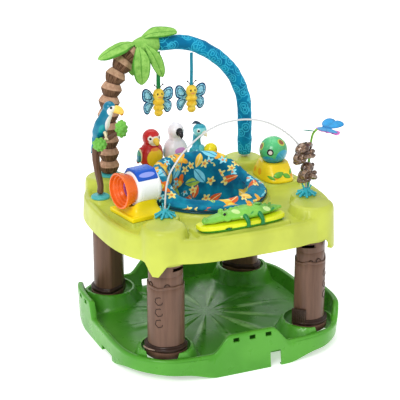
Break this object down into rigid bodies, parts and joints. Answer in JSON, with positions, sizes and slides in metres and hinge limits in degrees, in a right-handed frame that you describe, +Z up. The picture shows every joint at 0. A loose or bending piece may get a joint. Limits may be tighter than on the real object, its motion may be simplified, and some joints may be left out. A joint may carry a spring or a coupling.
{
  "type": "baby activity center",
  "caption": "Stationary baby activity center: bouncing round play tray on sprung legs over a dished base, with a turning fabric seat, soft palm toy arch and jungle toys.",
  "frame": {"origin": "on the floor, under the centre of the leg square, on the underside of the base's centre foot", "axes": "+Z up, +X from the front leg to the right leg of the picture, +Y from the front leg to the left leg, towards the soft toy arch"},
  "size_m": [0.7475, 0.7209, 0.9424],
  "materials": {
    "green_plastic": "satin moulded plastic",
    "brown_plastic": "satin moulded plastic",
    "spring_steel": "drawn steel wire",
    "lime_plastic": "satin moulded plastic",
    "teal_plastic": "satin moulded plastic",
    "print_fabric": "padded printed fabric",
    "arch_tube": "plain plastic tube",
    "trunk_plush": "stuffed plush",
    "sleeve_fabric": "padded printed fabric",
    "leaf_plush": "stuffed plush",
    "aqua_plastic": "glossy moulded plastic",
    "green_strap": "woven tape",
    "teal_strap": "woven tape",
    "bee_plush": "stuffed plush",
    "wing_fabric": "printed fabric",
    "white_wire": "coated wire",
    "monkey_brown": "glossy moulded plastic",
    "stem_green": "flexible plastic",
    "butterfly_pink": "glossy moulded plastic",
    "butterfly_blue": "glossy moulded plastic",
    "tree_brown": "glossy moulded plastic",
    "toucan_blue": "glossy moulded plastic",
    "beak_yellow": "glossy moulded plastic",
    "parrot_red": "glossy moulded plastic",
    "bird_white": "glossy moulded plastic",
    "bird_teal": "glossy moulded plastic",
    "sun_yellow": "glossy moulded plastic",
    "drum_yellow": "glossy moulded plastic",
    "drum_white": "glossy moulded plastic",
    "drum_blue": "glossy moulded plastic",
    "drum_orange": "glossy moulded plastic",
    "drum_mirror": "tinted safety mirror",
    "ball_green": "glossy moulded plastic",
    "gator_green": "glossy moulded plastic",
    "gator_lime": "glossy moulded plastic",
    "button_orange": "glossy moulded plastic"
  },
  "bodies": {
    "base": {"base_tray": "green_plastic", "bounce_spring_left": "spring_steel", "bounce_spring_front": "spring_steel", "bounce_spring_right": "spring_steel", "bounce_spring_back": "spring_steel"},
    "legs": {"leg_post_left": "brown_plastic", "leg_post_front": "brown_plastic", "leg_post_right": "brown_plastic", "leg_post_back": "brown_plastic"},
    "seat": {"seat_ring": "teal_plastic", "seat_fabric": "print_fabric"},
    "funnel": {"drum_funnel": "drum_orange", "drum_mirror": "drum_mirror"},
    "ball": {"turtle_ball": "ball_green"},
    "parrot": {"red_parrot": "parrot_red"},
    "white_bird": {"white_bird": "bird_white"},
    "teal_bird": {"teal_bird": "bird_teal", "sun_ball": "sun_yellow"},
    "left_bee": {"left_bee_strap": "green_strap", "left_bee_body": "bee_plush", "left_bee_wings": "wing_fabric"},
    "right_bee": {"right_bee_strap": "teal_strap", "right_bee_body": "bee_plush", "right_bee_wings": "wing_fabric"},
    "toucan": {"toucan_tree": "tree_brown", "toucan_body": "toucan_blue", "toucan_beak": "beak_yellow"},
    "lower_monkey": {"lower_monkey": "monkey_brown"},
    "upper_monkey": {"upper_monkey": "monkey_brown"},
    "butterfly": {"butterfly_stem": "stem_green", "butterfly_body": "butterfly_pink", "butterfly_wings": "butterfly_blue"},
    "flower_button": {"gator_flower_button": "button_orange"},
    "switch": {"gator_switch": "gator_green"},
    "tray": {"leg_sleeve_left": "brown_plastic", "leg_sleeve_front": "brown_plastic", "leg_sleeve_right": "brown_plastic", "leg_sleeve_back": "brown_plastic", "play_tray": "lime_plastic", "arch_tube": "arch_tube", "palm_trunk": "trunk_plush", "arch_sleeve": "sleeve_fabric", "palm_crown": "leaf_plush", "palm_leaf_left": "leaf_plush", "palm_leaf_front": "leaf_plush", "palm_leaf_inner": "leaf_plush", "palm_leaf_top": "leaf_plush", "palm_leaf_back": "leaf_plush", "trunk_collar": "aqua_plastic", "wire_arch": "white_wire", "splash_front": "aqua_plastic", "splash_right": "aqua_plastic", "toucan_base": "aqua_plastic", "bird_stand": "gator_lime", "drum_base": "drum_yellow", "drum_barrel": "drum_white", "drum_roof": "drum_blue", "ball_base": "drum_yellow", "gator_base": "gator_lime", "gator_body": "gator_green"}
  },
  "joints": [
    {"name": "bounce", "type": "slide", "parent": "base", "child": "legs", "axis": [0, 0, 1], "range_m": [-0.02, 0], "stiffness_N_per_m": 4000, "springref_m": 0.05, "deforming": ["bounce_spring_left", "bounce_spring_front", "bounce_spring_right", "bounce_spring_back"]},
    {"name": "tray_height", "type": "slide", "parent": "legs", "child": "tray", "axis": [0, 0, 1], "range_m": [0, 0.05]},
    {"name": "seat_turn", "type": "hinge", "parent": "tray", "child": "seat", "pos_m": [0, 0, 0.455], "axis": [0, 0, 1], "continuous": true},
    {"name": "funnel_turn", "type": "hinge", "parent": "tray", "child": "funnel", "pos_m": [-0.255, -0.066, 0.531], "axis": [-0.9848, -0.1736, 0], "continuous": true},
    {"name": "ball_turn", "type": "hinge", "parent": "tray", "child": "ball", "pos_m": [0.273, 0.08, 0.536], "axis": [0, 0, 1], "continuous": true},
    {"name": "parrot_rock", "type": "hinge", "parent": "tray", "child": "parrot", "pos_m": [-0.075, 0.275, 0.4979], "axis": [0.309, -0.9511, 0], "range_deg": [-12, 12], "stiffness_Nm_per_rad": 0.8},
    {"name": "white_bird_rock", "type": "hinge", "parent": "tray", "child": "white_bird", "pos_m": [0.016, 0.285, 0.4979], "axis": [0.309, -0.9511, 0], "range_deg": [-12, 12], "stiffness_Nm_per_rad": 0.8},
    {"name": "teal_bird_rock", "type": "hinge", "parent": "tray", "child": "teal_bird", "pos_m": [0.098, 0.285, 0.4904], "axis": [0.309, -0.9511, 0], "range_deg": [-10, 10], "stiffness_Nm_per_rad": 0.8},
    {"name": "left_bee_swing", "type": "hinge", "parent": "tray", "child": "left_bee", "pos_m": [-0.058, 0.245, 0.8573], "axis": [1, 0, 0], "range_deg": [-20, 20]},
    {"name": "right_bee_swing", "type": "hinge", "parent": "tray", "child": "right_bee", "pos_m": [0.057, 0.245, 0.8425], "axis": [1, 0, 0], "range_deg": [-20, 20]},
    {"name": "toucan_sway", "type": "hinge", "parent": "tray", "child": "toucan", "pos_m": [-0.31, 0.113, 0.4658], "axis": [0.4051, 0.9143, 0], "range_deg": [-6, 6], "stiffness_Nm_per_rad": 6},
    {"name": "lower_monkey_spin", "type": "hinge", "parent": "tray", "child": "lower_monkey", "pos_m": [0.2528, -0.178, 0.54182], "axis": [-0.1019, 0, 0.9948], "continuous": true},
    {"name": "upper_monkey_spin", "type": "hinge", "parent": "tray", "child": "upper_monkey", "pos_m": [0.23934, -0.178, 0.60694], "axis": [-0.3625, 0, 0.932], "continuous": true},
    {"name": "butterfly_sway", "type": "hinge", "parent": "tray", "child": "butterfly", "pos_m": [0.284, -0.135, 0.4746], "axis": [0.7071, 0.7071, 0], "range_deg": [-8, 8], "stiffness_Nm_per_rad": 0.8},
    {"name": "flower_press", "type": "slide", "parent": "tray", "child": "flower_button", "axis": [0, 0, 1], "range_m": [-0.003, 0], "stiffness_N_per_m": 300, "springref_m": 0.003},
    {"name": "switch_slide", "type": "slide", "parent": "tray", "child": "switch", "axis": [0.9986, 0.0523, 0], "range_m": [-0.0055, 0.0055]}
  ]
}
